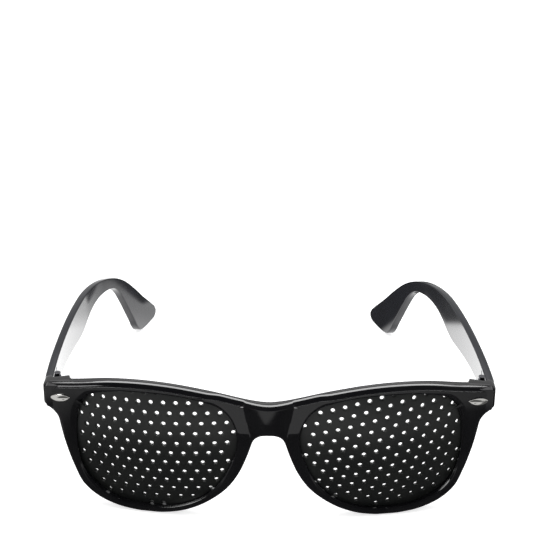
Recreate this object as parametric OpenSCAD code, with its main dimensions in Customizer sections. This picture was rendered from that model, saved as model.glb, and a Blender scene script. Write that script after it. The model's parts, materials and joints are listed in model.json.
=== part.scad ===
// Pinhole glasses: a moulded front, two perforated plates, two folding temples.
// Millimetres. X runs across the face, the front looks towards -Y, Z is up,
// and the glasses stand on their rims and temple tips at Z = 0.

/* [Front] */
// Overall width over the end pieces
front_w = 143; // [136:1:150]
// Height of the front from the rim bottoms to the top of the brow
front_h = 46.7; // [43:0.1:50]
// Radius of the curved front face, seen from above
face_radius = 248; // [225:1:290]
// Thickness of the rims and brow, front to back
rim_t = 4.2; // [4:0.1:5]
// Width of the rounded border round the front face
border_w = 0.95; // [0.6:0.05:1.1]
// Height by which the bridge panel stands proud of the rims
panel_rise = 0.4; // [0.2:0.05:0.6]
// Half width of the bridge panel at its top
panel_top = 7.9; // [7:0.1:8.5]
// Half width of the bridge panel at its bottom
panel_bottom = 6.9; // [6:0.1:7.5]

/* [Nose pads] */
// Thickness of the moulded nose pads
pad_t = 2.4; // [2:0.1:2.6]
// Depth of the nose pads behind the bridge front
pad_depth = 10.5; // [9:0.1:12]
// Height of the nose pads
pad_h = 19; // [16:0.5:20]

/* [Pinhole plates] */
// Distance of a plate's middle from the centre line, on a front 143 wide
plate_middle = 38.1; // [37.5:0.1:38.7]
// Radius of the domed plates
plate_radius = 80; // [76:1:90]
// Angle by which each plate is turned back at its outer side
plate_wrap = 10; // [9:0.5:11]
// Depth of a plate's middle behind the bridge front
plate_y = 2; // [1.9:0.05:2.2]
// Thickness of the plates
plate_t = 1; // [0.8:0.05:1.1]
// Width of the plate's edge that sits in the rim's groove
plate_edge = 0.9; // [0.6:0.05:1.1]
// Clearance between plate and groove
groove_gap = 0.04; // [0.02:0.01:0.08]
// Distance between neighbouring pinholes
hole_pitch = 4; // [3.8:0.1:5]
// Diameter of a pinhole at the front of the plate
hole_front_d = 1.6; // [1.2:0.05:1.9]
// Diameter of a pinhole at the back of the plate
hole_back_d = 1.3; // [1:0.05:1.5]
// Turn of the pinhole rows on the left plate
rows_left = 1.3; // [-5:0.1:5]
// Turn of the pinhole rows on the right plate
rows_right = 13.9; // [5:0.1:20]

/* [Studs] */
// Length of the pointed oval studs
stud_l = 6.8; // [6:0.1:7.4]
// Height of the studs
stud_h = 2.6; // [2.2:0.1:3]
// Rise of the domed studs above the front face
stud_rise = 0.45; // [0.3:0.05:0.6]
// Distance from the end piece's side to the middle of the stud
stud_inset = 5.8; // [5.4:0.1:6.4]
// Distance from the brow's top to the middle of the stud
stud_drop = 7.7; // [7.3:0.1:8.1]

/* [Temples] */
// Reach of the temples behind the end pieces
temple_reach = 129.15; // [120:0.5:140]
// Radius of the gentle bow in the front half of the temples
temple_bow = 530; // [480:10:600]
// Radius of the tighter bend ahead of the ear pieces
ear_bend = 95; // [85:5:115]
// Thickness of the temples
temple_t = 2.5; // [2.3:0.1:2.8]
// Degrees that the fully open temples spread outwards
temple_splay = 1.7; // [1:0.1:2.5]
// Degrees that the right temple is drawn turned in from fully open
right_turn = 3.8; // [0:0.1:5]

/* [Hinges] */
// Run of the end pieces from the outer end of the curved face back to the seam
end_run = 5.77; // [5.3:0.05:6.5]
// Gap at the seam
seam_gap = 0.15; // [0.05:0.05:0.3]
// Diameter of the hinge knuckles
knuckle_d = 2.4; // [2.2:0.1:2.6]
// Height of the three knuckles together
knuckle_h = 5.2; // [4.8:0.1:5.4]
// Thickness of the hinge leaves
leaf_t = 0.8; // [0.6:0.05:0.9]
// Length of the leaf on the front
front_leaf_l = 5; // [4:0.1:5.2]
// Length of the leaf on the temple
temple_leaf_l = 7; // [5:0.1:8]
// Diameter of the hinge screw
screw_d = 1.3; // [1.1:0.05:1.5]
// Radial clearance of the screw in the knuckles
screw_gap = 0.05; // [0.03:0.01:0.08]
// Diameter of the screw's head
head_d = 2; // [1.8:0.1:2.3]
// Height of the screw's head above the knuckles
head_h = 1.1; // [0.8:0.1:1.3]

/* [Hidden] */

// Circles this fine follow their true curve to a hundredth of a millimetre
$fn = 48;
fine = 360;
// Length of the short straight steps that follow a drawn curve
curve_step = 2.2;

// Cutting shapes reach this far past the surfaces that they cut
past = 1;

// Right half of the front's outline, from the bridge top round to its underside
front_half = [
    [0, 40.4], [5, 41.0], [10, 42.3], [15, 43.6], [20, 44.7], [30, 46.2], [40, 46.7],
    [50, 46.2], [60, 44.6], [69.6, 43.0], [71.1, 42.3], [71.5, 41.2], [71.5, 37.2],
    [71.2, 35.9], [70.2, 35.2], [68.4, 34.2], [67.2, 32.2], [66.5, 28.5], [65.6, 23.5],
    [64.2, 18.5], [62.5, 14], [59.9, 8.2], [55.6, 3.5], [49, 0.7], [41, -0.06],
    [34.2, 0.25], [27.3, 1.9], [20.5, 5.4], [15, 10.4], [11, 16.4], [8.1, 22.8],
    [6.3, 27.2], [5.2, 29.7], [3.4, 31], [0, 31.2],
];

// Right lens opening, from its nose side over the top
opening_half = [
    [10.1, 31.5], [12.6, 37.6], [18.5, 42], [27, 44.2], [38, 44.9], [49, 44.2],
    [56.3, 41.4], [60, 35.5], [61.1, 27], [60.9, 20.5], [59.2, 13.5], [55.2, 7.8],
    [48.5, 3.9], [39.5, 2.6], [30, 3.4], [21.5, 7], [15.3, 13.3], [11.6, 20.8], [10, 26.5],
];

// Side profile of a temple: distance behind the seam, and height
temple_side = [
    [0, 42.1], [17, 42], [33, 41.6], [49, 41.0], [65, 39.8], [78, 38.1], [87, 36.0],
    [95, 32.6], [102, 28.2], [110, 21.4], [118, 13.8], [125, 7.6], [128.2, 4.4],
    [129.15, 2.2], [128, 0.5], [125, -0.06], [118, -0.06], [114, 0.8], [111, 3.9], [109, 7.4],
    [105.2, 13.5], [101.2, 19.8], [97, 25.6], [93, 29.1], [88, 31], [81, 31.7], [74, 31],
    [67, 29.4], [61, 28.2], [55, 28.1], [45, 29.5], [31, 31.6], [15, 33.4], [0, 35.0],
];

// The outlines follow the driving sizes: what was drawn is stretched to fit them
half_w = front_w / 2;
to_w = half_w / max([for (q = front_half) q[0]]);
to_h = front_h / max([for (q = front_half) q[1]]);
to_reach = temple_reach / max([for (q = temple_side) q[0]]);

// Depth of the front face at distance x from the centre line
function face_y(x) = panel_rise + face_radius - sqrt(face_radius * face_radius - x * x);

// The seam lies behind the end of the face
seam_y = face_y(half_w) + end_run;

// Middle of the lenses
plate_x = plate_middle * to_w;
plate_z = 24.8 * to_h;
// Heights between which the bridge panel stands proud, and middle of the nose pads
panel_high = 41.5 * to_h;
panel_low = 27 * to_h;
pad_z = 21.5 * to_h;
// Where the rows of pinholes start, from the middle of each plate
rows_start_left = [3.4, -1.1];
rows_start_right = [-4.3, 0.2];
// How far the pinholes are cut past both faces of the plate
hole_over = 0.2;

// The rounded border is made of these steps: share of its width, and depth
border_steps = [[0, 1], [0.4, 0.45], [1, 0]];
border_depth = 0.9;

// The temples start here, bow over the first run, bend over the second, and end straight
temple_start = seam_y + seam_gap;
bow_run = 64 * to_reach;
bend_run = 21 * to_reach;
bow_angle = bow_run / temple_bow * 180 / PI;
bend_angle = bend_run / ear_bend * 180 / PI;
end_angle = bow_angle + bend_angle;
bow_centre = [half_w - temple_bow, temple_start];
bend_centre = bow_centre + (temple_bow - ear_bend) * [cos(bow_angle), sin(bow_angle)];

// End pieces and hinges
temple_inner = half_w - temple_t;
knuckle_clear = 0.3;
leaf_clear = 0.1;
leaf_past_axis = 0.6;
hinge_x = temple_inner - knuckle_clear - knuckle_d / 2;
axis_back = 0.6;
hinge_y = seam_y + axis_back;
hinge_z = 40 * to_h;
endpiece_low = 35.2 * to_h;
// The whole is centred front to back, as far as the inner corner of the spread left temple's tip
tip_y = temple_start + temple_reach;
tip_x = bend_centre[0] + (ear_bend - temple_t) / cos(end_angle) - (tip_y - bend_centre[1]) * tan(end_angle);
depth = hinge_y + (hinge_x - tip_x) * sin(temple_splay) + (tip_y - hinge_y) * cos(temple_splay);
middle_y = depth / 2;
hinge_pad_y = hinge_y - knuckle_d / 2 - leaf_clear - leaf_t;
front_leaf_start = hinge_x + leaf_past_axis - front_leaf_l;
knuckle_each = knuckle_h / 3;
knuckle_gap = 0.05;
pocket_gap = 0.25;
leaf_low = hinge_z - knuckle_h / 2;
leaf_top = hinge_z + knuckle_h / 2;
temple_leaf_top = hinge_z + knuckle_each / 2;
temple_leaf_start = hinge_y + knuckle_d / 2 + pocket_gap;
anchor_d = 1;
anchor_l = 1.1;
anchor_gap = 0.02;
anchor_root = 0.1;
slot_w = 0.4;
slot_deep = 0.45;

// Stud seat
stud_x = half_w - stud_inset;
stud_z = front_h - stud_drop;
stud_sink = 0.35;
stud_gap = 0.06;
stud_root = 0.1;
shank_d = 1.4;
shank_l = 2;
shank_gap = 0.02;

// A point on a smooth curve through b and c, with neighbours a and d
function spline_point(a, b, c, d, t) =
    let (
        tb = sqrt(norm(b - a)),
        tc = tb + sqrt(norm(c - b)),
        td = tc + sqrt(norm(d - c)),
        s = tb + t * (tc - tb),
        p = ((tb - s) * a + s * b) / tb,
        q = ((tc - s) * b + (s - tb) * c) / (tc - tb),
        r = ((td - s) * c + (s - tc) * d) / (td - tc),
        u = ((tc - s) * p + s * q) / tc,
        v = ((td - s) * q + (s - tb) * r) / (td - tb)
    )
    ((tc - s) * u + (s - tb) * v) / (tc - tb);

// Points along one span of a curve, in steps of about curve_step
function spline_span(a, b, c, d) =
    let (n = max(2, round(norm(c - b) / curve_step)))
    [for (k = [0 : n - 1]) spline_point(a, b, c, d, k / n)];

function closed_curve(p) =
    let (n = len(p))
    [for (i = [0 : n - 1])
        each spline_span(p[(i + n - 1) % n], p[i], p[(i + 1) % n], p[(i + 2) % n])];

function open_curve(p) =
    let (n = len(p), first = 2 * p[0] - p[1], last = 2 * p[n - 1] - p[n - 2])
    concat(
        [for (i = [0 : n - 2])
            each spline_span(i > 0 ? p[i - 1] : first, p[i], p[i + 1], i < n - 2 ? p[i + 2] : last)],
        [p[n - 1]]
    );

// A clockwise outline moved inwards by d, or outwards where d is negative
function moved_in(p, d) =
    let (n = len(p))
    [for (i = [0 : n - 1])
        let (along = p[(i + 1) % n] - p[(i + n - 1) % n])
        p[i] + d * [along[1], -along[0]] / norm(along)];

// True where a point lies inside an outline: a ray from it crosses an odd number of edges
function is_inside(q, p) =
    let (
        n = len(p),
        hits = [for (i = [0 : n - 1])
            let (a = p[i], b = p[(i + 1) % n])
            if ((a[1] > q[1]) != (b[1] > q[1])
                && q[0] < a[0] + (b[0] - a[0]) * (q[1] - a[1]) / (b[1] - a[1])) 1]
    )
    len(hits) % 2 == 1;

function sized(p) = [for (q = p) [q[0] * to_w, q[1] * to_h]];

front_outline = closed_curve(sized(concat(
    front_half,
    [for (i = [len(front_half) - 2 : -1 : 1]) [-front_half[i][0], front_half[i][1]]]
)));
opening_outline = closed_curve(sized(opening_half));
plate_outline = moved_in(opening_outline, -plate_edge);
temple_outline = open_curve([for (q = temple_side) [q[0] * to_reach, q[1] * to_h]]);

// Points along an arc, without the first one
function arc_points(centre, r, from, to) =
    let (n = ceil((to - from) * PI / 180 * r / curve_step))
    [for (k = [1 : n])
        let (a = from + (to - from) * k / n)
        centre + r * [cos(a), sin(a)]];

// One face of a temple from above, at a depth below the outer face: bow, bend and straight end
function blade_face(deep) =
    let (end = bend_centre + (ear_bend - deep) * [cos(end_angle), sin(end_angle)])
    concat(
        [[bow_centre[0] + temple_bow - deep, temple_start - past]],
        arc_points(bow_centre, temple_bow - deep, 0, bow_angle),
        arc_points(bend_centre, ear_bend - deep, bow_angle, end_angle),
        [end + temple_reach * [-sin(end_angle), cos(end_angle)]]
    );

function reversed(p) = [for (i = [len(p) - 1 : -1 : 0]) p[i]];

module centred() {
    translate([0, -middle_y, 0]) children();
}

// One side's piece: the right one as drawn, the left one mirrored
module on_side(side) {
    mirror([side < 0 ? 1 : 0, 0, 0]) children();
}

// Turned inwards about the hinge's axis by an angle
module about_hinge(turn) {
    translate([hinge_x, hinge_y, 0])
        rotate([0, 0, turn])
        translate([-hinge_x, -hinge_y, 0])
        children();
}

// A temple's pieces at the end of their opening
module spread_out() {
    about_hinge(-temple_splay) children();
}

// A temple's pieces as they are drawn: the left one fully open, the right one turned in a little
module turned_in(side) {
    about_hinge(side > 0 ? right_turn : 0) children();
}

// A flat shape in X and Z, extruded from y0 to y1
module between_y(y0, y1) {
    translate([0, y1, 0]) rotate([90, 0, 0]) linear_extrude(height = y1 - y0) children();
}

module box(low, high) {
    translate(low) cube(high - low);
}

// Everything behind the curved front face, starting at a given depth
module behind_face(deep) {
    translate([0, panel_rise + face_radius, -past])
        cylinder(r = face_radius - deep, h = front_h + 2 * past, $fn = fine);
}

module front_prism(inset, back) {
    between_y(-past, back) polygon(moved_in(front_outline, inset));
}

// The curved slab of rims and brow, with its stepped border and proud bridge panel
module front_slab() {
    difference() {
        union() {
            for (step = border_steps)
                intersection() {
                    front_prism(step[0] * border_w, 2 * rim_t + face_y(half_w));
                    behind_face(step[1] * border_depth);
                }
            bridge_panel();
        }
        behind_face(rim_t);
    }
}

module bridge_panel() {
    intersection() {
        front_prism(border_w, rim_t);
        translate([0, -panel_rise, 0]) behind_face(0);
        between_y(-past, rim_t)
            polygon([
                [-panel_top, panel_high], [panel_top, panel_high],
                [panel_bottom, panel_low], [-panel_bottom, panel_low]
            ]);
    }
}

// The end piece that runs back to the seam, and the pad that carries the hinge
module end_piece() {
    start_y = face_y(front_leaf_start) + rim_t / 2;
    intersection() {
        front_prism(0, seam_y);
        union() {
            box([temple_inner, start_y, endpiece_low], [half_w + past, seam_y, front_h]);
            box([front_leaf_start, start_y, endpiece_low], [temple_inner + past, hinge_pad_y, front_h]);
        }
    }
}

// A fin along the nose side of the rim, rounded from the side
module nose_pad() {
    root_y = rim_t / 2;
    intersection() {
        between_y(root_y, pad_depth + past) intersection() {
            difference() {
                polygon(front_outline);
                polygon(moved_in(front_outline, pad_t));
            }
            translate([0, pad_z - pad_h / 2]) square([plate_x / 2, pad_h]);
        }
        translate([0, root_y, pad_z])
            rotate([0, 90, 0])
            linear_extrude(height = plate_x / 2)
            pad_profile();
    }
}

// Half of a rounded fin: its chord lies on the rim, and its crown is at pad_depth
module pad_profile() {
    rise = pad_depth - rim_t / 2;
    r = (rise * rise + pad_h * pad_h / 4) / (2 * rise);
    translate([0, rise - r]) circle(r = r, $fn = fine);
}

module lens_opening() {
    between_y(-past, seam_y) polygon(opening_outline);
}

// A domed shell between two depths behind the front of the plate
module domed_shell(from, to) {
    translate([plate_x, plate_y, plate_z])
        rotate([0, 0, plate_wrap])
        translate([0, plate_radius, 0])
        difference() {
            sphere(r = plate_radius - from, $fn = fine);
            sphere(r = plate_radius - to, $fn = fine);
        }
}

module plate_groove() {
    intersection() {
        between_y(-past, seam_y) polygon(moved_in(plate_outline, -groove_gap));
        domed_shell(-groove_gap, plate_t + groove_gap);
    }
}

// Puts its children at the stud's place, square to the curved face
module at_stud() {
    tilt = asin(stud_x / face_radius);
    translate([stud_x, face_y(stud_x), stud_z]) rotate([0, 0, tilt]) children();
}

// A pointed oval: where two equal circles overlap
module pointed_oval(l, h) {
    r = (l * l + h * h) / (4 * h);
    intersection() {
        translate([0, r - h / 2]) circle(r = r, $fn = fine);
        translate([0, h / 2 - r]) circle(r = r, $fn = fine);
    }
}

module stud_seat() {
    at_stud() {
        between_y(-past, stud_sink) pointed_oval(stud_l + 2 * stud_gap, stud_h + 2 * stud_gap);
        rotate([-90, 0, 0]) cylinder(d = shank_d + 2 * shank_gap, h = stud_sink + shank_l + shank_gap);
    }
}

// Two short pegs that hold a leaf in the plastic, along the leaf's length
module anchors(l, gap) {
    for (s = [-1, 1])
        translate([s * l / 4, 0, 0])
            cylinder(d = anchor_d + 2 * gap, h = anchor_l + gap);
}

module front_leaf_anchors(gap) {
    translate([front_leaf_start + front_leaf_l / 2, hinge_pad_y + anchor_root, hinge_z])
        rotate([90, 0, 0])
        anchors(front_leaf_l, gap);
}

module temple_leaf_anchors(gap) {
    middle_z = (leaf_low + temple_leaf_top) / 2;
    translate([temple_inner + leaf_t - anchor_root, temple_leaf_start + temple_leaf_l / 2, middle_z])
        rotate([0, 90, 0])
        rotate([0, 0, 90])
        anchors(temple_leaf_l, gap);
}

module front_frame() {
    color([0.05, 0.05, 0.055]) centred() difference() {
        intersection() {
            union() {
                front_slab();
                for (side = [-1, 1])
                    on_side(side) {
                        end_piece();
                        nose_pad();
                    }
            }
            box([-half_w, -past, 0], [half_w, depth, front_h]);
        }
        for (side = [-1, 1])
            on_side(side) {
                lens_opening();
                plate_groove();
                stud_seat();
                front_leaf_anchors(anchor_gap);
            }
    }
}

// World place of a pinhole, from its place along the plate's dome
function hole_place(q) =
    let (
        r = max(norm(q), 0.001),
        turn = r / plate_radius * 180 / PI,
        out = plate_radius * sin(turn),
        back = plate_radius * (1 - cos(turn))
    )
    [
        plate_x + cos(plate_wrap) * out * q[0] / r - sin(plate_wrap) * back,
        plate_z + out * q[1] / r
    ];

// Places of the pinholes along the dome: rows at 60 degrees, kept inside the opening
function hole_grid(rows_turn, rows_start, side) =
    let (
        edge = moved_in(opening_outline, hole_front_d / 4),
        row_pitch = hole_pitch * sqrt(3) / 2,
        rows = ceil(plate_x / row_pitch)
    )
    [for (j = [-rows : rows], i = [-rows : rows])
        let (
            u = hole_pitch * (i + (j % 2) / 2),
            w = row_pitch * j,
            x = rows_start[0] + cos(rows_turn) * u - sin(rows_turn) * w,
            z = rows_start[1] + sin(rows_turn) * u + cos(rows_turn) * w,
            q = [side * x, z]
        )
        if (norm(q) < plate_x && is_inside(hole_place(q), edge)) q];

// One tapered pinhole, square to the dome at place q
module pinhole(q) {
    r = max(norm(q), 0.001);
    taper = (hole_front_d - hole_back_d) / plate_t;
    translate([plate_x, plate_y, plate_z])
        rotate([0, 0, plate_wrap])
        translate([0, plate_radius, 0])
        rotate(a = r / plate_radius * 180 / PI, v = [-q[1], 0, q[0]])
        rotate([-90, 0, 0])
        translate([0, 0, -plate_radius - hole_over])
        cylinder(
            d1 = hole_front_d + taper * hole_over,
            d2 = hole_back_d - taper * hole_over,
            h = plate_t + 2 * hole_over
        );
}

module pinhole_plate(side, rows_turn, rows_start) {
    color([0.09, 0.09, 0.09]) centred() on_side(side) difference() {
        intersection() {
            between_y(-past, seam_y) polygon(plate_outline);
            domed_shell(0, plate_t);
        }
        for (q = hole_grid(rows_turn, rows_start, side)) pinhole(q);
    }
}

module stud(side) {
    dome_r = (stud_l * stud_l / 4 + stud_rise * stud_rise) / (2 * stud_rise);
    color([0.78, 0.77, 0.74]) centred() on_side(side) at_stud() {
        intersection() {
            between_y(-stud_rise, stud_sink) pointed_oval(stud_l, stud_h);
            translate([0, dome_r - stud_rise, 0]) sphere(r = dome_r, $fn = fine);
        }
        translate([0, stud_sink - stud_root, 0])
            rotate([-90, 0, 0])
            cylinder(d = shank_d, h = shank_l + stud_root);
    }
}

// The part of a leaf round the screw, for one knuckle between two heights
module knuckle(low, high) {
    translate([hinge_x, hinge_y, low]) cylinder(d = knuckle_d, h = high - low);
}

module screw_hole() {
    translate([hinge_x, hinge_y, hinge_z - knuckle_h])
        cylinder(d = screw_d + 2 * screw_gap, h = 2 * knuckle_h);
}

module front_leaf(side) {
    color([0.62, 0.61, 0.58]) centred() on_side(side) difference() {
        union() {
            box([front_leaf_start, hinge_pad_y, leaf_low],
                [hinge_x + leaf_past_axis, hinge_pad_y + leaf_t, leaf_top]);
            front_leaf_anchors(0);
            for (low = [leaf_low, leaf_top - knuckle_each + knuckle_gap]) {
                high = low + knuckle_each - knuckle_gap;
                knuckle(low, high);
                box([hinge_x - knuckle_d / 2, hinge_pad_y, low], [hinge_x, hinge_y, high]);
            }
        }
        screw_hole();
    }
}

module temple_leaf(side) {
    low = hinge_z - knuckle_each / 2;
    color([0.62, 0.61, 0.58]) centred() on_side(side) turned_in(side) spread_out() difference() {
        union() {
            box([temple_inner, temple_leaf_start, leaf_low],
                [temple_inner + leaf_t, temple_leaf_start + temple_leaf_l, temple_leaf_top]);
            box([hinge_x, hinge_y, low],
                [temple_inner + leaf_t, temple_leaf_start + leaf_t, temple_leaf_top]);
            knuckle(low, temple_leaf_top);
            temple_leaf_anchors(0);
        }
        screw_hole();
    }
}

module hinge_screw(side) {
    top = leaf_top + head_h;
    color([0.7, 0.69, 0.66]) centred() on_side(side) difference() {
        union() {
            translate([hinge_x, hinge_y, leaf_low]) cylinder(d = screw_d, h = top - leaf_low);
            translate([hinge_x, hinge_y, leaf_top]) cylinder(d = head_d, h = head_h);
        }
        box([hinge_x - head_d, hinge_y - slot_w / 2, top - slot_deep],
            [hinge_x + head_d, hinge_y + slot_w / 2, top + past]);
    }
}

// The bowed blade: its side profile cut out of a wall that bows, bends more tightly and ends straight
module temple_blade() {
    intersection() {
        translate([0, temple_start, 0])
            rotate([90, 0, 90])
            linear_extrude(height = half_w + past)
            polygon(temple_outline);
        translate([0, 0, -past])
            linear_extrude(height = front_h + 2 * past)
            polygon(concat(blade_face(0), reversed(blade_face(temple_t))));
    }
}

module hinge_pocket() {
    end_y = temple_leaf_start + temple_leaf_l + pocket_gap;
    box([temple_inner - temple_t, seam_y - past, leaf_low - pocket_gap],
        [temple_inner + leaf_t, end_y, temple_leaf_top + pocket_gap]);
}

module temple(side) {
    color([0.06, 0.06, 0.075]) centred() on_side(side) turned_in(side) difference() {
        spread_out() difference() {
            temple_blade();
            hinge_pocket();
            temple_leaf_anchors(anchor_gap);
        }
        box([0, 0, -past], [half_w + 2 * past, depth + 2 * past, 0]);
        box([0, 0, -past], [half_w + 2 * past, temple_start, front_h + past]);
    }
}

front_frame();
pinhole_plate(-1, rows_left, rows_start_left);  // pinhole_plate_left
pinhole_plate(1, rows_right, rows_start_right);  // pinhole_plate_right
stud(-1);  // stud_left
stud(1);  // stud_right
front_leaf(-1);  // front_leaf_left
front_leaf(1);  // front_leaf_right
hinge_screw(-1);  // hinge_screw_left
hinge_screw(1);  // hinge_screw_right
temple_leaf(-1);  // temple_leaf_left
temple_leaf(1);  // temple_leaf_right
temple(-1);  // temple_left
temple(1);  // temple_right
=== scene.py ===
# %% [markdown]
# # A pair of pinhole glasses
# The glasses are a black moulded front, two domed plates full of small holes, two bright studs and two folding
# temples. The CAD model gives every place and size. Here each visible surface is worked out again with numpy, with
# the soft edges and the fine lines that the real moulding has. The hinges keep their CAD shapes.

# %% Load the frame
import json

import bmesh
import bpy
import numpy as np
from mathutils import Matrix, Vector

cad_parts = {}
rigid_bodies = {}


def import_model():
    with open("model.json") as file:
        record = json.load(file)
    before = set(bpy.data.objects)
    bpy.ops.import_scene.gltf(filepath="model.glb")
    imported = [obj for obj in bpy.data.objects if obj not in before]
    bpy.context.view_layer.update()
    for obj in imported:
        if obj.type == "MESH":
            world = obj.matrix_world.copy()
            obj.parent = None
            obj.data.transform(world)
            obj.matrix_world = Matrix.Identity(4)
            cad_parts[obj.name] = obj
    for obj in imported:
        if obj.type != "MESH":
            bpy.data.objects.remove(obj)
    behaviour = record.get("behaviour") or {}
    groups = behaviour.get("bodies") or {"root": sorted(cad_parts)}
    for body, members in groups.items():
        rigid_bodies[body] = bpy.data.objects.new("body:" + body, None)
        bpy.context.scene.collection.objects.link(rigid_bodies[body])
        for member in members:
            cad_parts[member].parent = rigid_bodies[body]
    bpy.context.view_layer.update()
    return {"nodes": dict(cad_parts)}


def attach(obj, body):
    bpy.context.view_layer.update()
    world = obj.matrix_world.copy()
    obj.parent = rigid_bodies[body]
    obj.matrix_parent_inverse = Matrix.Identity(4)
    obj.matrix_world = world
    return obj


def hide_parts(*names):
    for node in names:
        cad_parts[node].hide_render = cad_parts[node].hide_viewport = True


for leftover in list(bpy.data.objects):
    bpy.data.objects.remove(leftover)
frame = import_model()

# %% [markdown]
# ## Sizes
# The numbers are the design's own millimetres: x across the face, y back from the bridge, z up from the table. The
# frame is centred front to back, so 73.32 mm comes off y when a point goes into a mesh. The plates' domes are turned
# by 10 degrees, as the face wraps, and a temple's bow and bend are arcs about two centres, seen from above.

# %% Sizes of the front, the plates and the temples
MM = 0.001
MIDDLE_Y = 73.3175
HALF_WIDTH, BROW_TOP = 71.5, 46.7
FACE_RADIUS, FACE_START, RIM_THICK = 248.0, 0.4, 4.2
BORDER = 0.95
LENS_X, LENS_Y, LENS_Z = 38.1, 2.0, 24.8
DOME_RADIUS, DOME_TURN, PLATE_THICK, PLATE_EDGE = 80.0, np.radians(10), 1.0, 0.9
PAD_Y, SEAM_Y = 15.2, 16.7
TEMPLE_THICK, TEMPLE_START = 2.5, 16.85
BOW_RADIUS, BEND_RADIUS, BOW_ANGLE, END_ANGLE = 530.0, 95.0, np.radians(6.9187), np.radians(19.5841)
BOW_CENTRE, BEND_CENTRE = np.array([-458.5, 16.85]), np.array([-26.668, 69.251])
HINGE, SPLAY, RIGHT_TURN = np.array([67.5, 17.3]), np.radians(1.7), np.radians(3.8)
SPOKE_CENTRE = np.array([38.1, 31.5])

# %% [markdown]
# ## Small tools for surfaces
# A smooth outline is a Catmull-Rom curve through a few drawn points. A surface is a grid of points, so it needs only
# arrays: one step to make the faces between neighbours, and one to put them into a mesh. Patches that meet share
# their edge points, and merging the doubles closes the seam.


# %% Curves
def smooth_curve(points, closed=True, steps=24):
    """Each span is the centripetal Catmull-Rom blend of its four nearest points; all spans are done at once."""
    p = np.asarray(points, float)
    if closed:
        a, b, c, d = np.roll(p, 1, 0), p, np.roll(p, -1, 0), np.roll(p, -2, 0)
    else:
        e = np.vstack([2 * p[0] - p[1], p, 2 * p[-1] - p[-2]])
        a, b, c, d = e[:-3], e[1:-2], e[2:-1], e[3:]
    root = lambda u, v: np.sqrt(np.linalg.norm(v - u, axis=1))[:, None, None]
    tb = root(a, b)
    tc = tb + root(b, c)
    td = tc + root(c, d)
    s = tb + (tc - tb) * (np.arange(steps) / steps)[None, :, None]
    a, b, c, d = a[:, None], b[:, None], c[:, None], d[:, None]
    ab = ((tb - s) * a + s * b) / tb
    bc = ((tc - s) * b + (s - tb) * c) / (tc - tb)
    cd = ((td - s) * c + (s - tc) * d) / (td - tc)
    abc = ((tc - s) * ab + s * bc) / tc
    bcd = ((td - s) * bc + (s - tb) * cd) / (td - tb)
    out = (((tc - s) * abc + (s - tb) * bcd) / (tc - tb)).reshape(-1, p.shape[1])
    return out if closed else np.vstack([out, p[-1]])


def run_length(curve):
    """Distance along the curve to each point: the running sum of the steps."""
    return np.concatenate([[0], np.cumsum(np.linalg.norm(np.diff(curve, axis=0), axis=1))])


def even_points(curve, count):
    """The same curve with its points equally far apart along it."""
    s = run_length(curve)
    t = np.linspace(0, s[-1], count)
    return np.stack([np.interp(t, s, curve[:, k]) for k in range(curve.shape[1])], axis=1)


def ease(low, high, x):
    """Goes from 0 at low to 1 at high, level at both ends: 3t^2 - 2t^3."""
    t = np.clip((np.asarray(x, float) - low) / (high - low), 0, 1)
    return t * t * (3 - 2 * t)


# %% Grids and meshes
def in_frame(x, y, z):
    """Design millimetres to metres in the frame."""
    return np.stack(np.broadcast_arrays(x, np.asarray(y) - MIDDLE_Y, z), axis=-1) * MM


def patch(grid, around=False):
    """A grid of points, rows by columns, and the four-sided faces between neighbours; around joins the last column
    to the first."""
    rows, cols = grid.shape[:2]
    number = np.arange(rows * cols).reshape(rows, cols)
    if around:
        number = np.hstack([number, number[:, :1]])
    faces = np.stack([number[:-1, :-1], number[:-1, 1:], number[1:, 1:], number[1:, :-1]], axis=-1)
    return grid.reshape(-1, 3), faces.reshape(-1, 4)


def mirrored(parts):
    """The same patches with x turned round."""
    return [(points * [-1, 1, 1], faces) for points, faces in parts]


def piece(name, parts, body, material, stands_for, sharp=38, dome=None):
    """Joins patches into one closed, smooth mesh that rides on a body and stands for a CAD node. With a dome's centre
    and radii, the open front rim is drawn in towards that centre until it meets the back rim."""
    starts = np.cumsum([0] + [len(points) for points, _ in parts[:-1]])
    points = np.vstack([p for p, _ in parts])
    faces = np.vstack([f + s for (_, f), s in zip(parts, starts)])
    mesh = bpy.data.meshes.new(name)
    mesh.from_pydata(points.astype(np.float32), [], faces)
    work = bmesh.new()
    work.from_mesh(mesh)
    bmesh.ops.remove_doubles(work, verts=work.verts, dist=2e-6)
    if dome:
        centre, outer, inner = dome
        on_front = lambda v: abs((v.co - centre).length - outer) < 1e-5
        rim = [e for e in work.edges if e.is_boundary and on_front(e.verts[0]) and on_front(e.verts[1])]
        wall = bmesh.ops.extrude_edge_only(work, edges=rim)["geom"]
        bmesh.ops.scale(work, vec=[inner / outer] * 3, space=Matrix.Translation(-centre),
                        verts=[v for v in wall if isinstance(v, bmesh.types.BMVert)])
        bmesh.ops.remove_doubles(work, verts=work.verts, dist=2e-6)
        # The extrusion orders its faces anew at each run. A number made from their corners gives one fixed order.
        work.verts.index_update()
        work.faces.sort(key=lambda face: hash(tuple(sorted(v.index for v in face.verts))))
    bmesh.ops.recalc_face_normals(work, faces=work.faces)
    work.to_mesh(mesh)
    open_edges = sum(1 for edge in work.edges if not edge.is_manifold)
    work.free()
    mesh.shade_smooth()
    mesh.set_sharp_from_angle(angle=np.radians(sharp))
    thing = bpy.data.objects.new(name, mesh)
    bpy.context.scene.collection.objects.link(thing)
    mesh.materials.append(material)
    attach(thing, body)
    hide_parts(stands_for)
    print(f"{name}: {len(mesh.polygons)} faces, {open_edges} open or doubled edges")
    return thing


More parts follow.
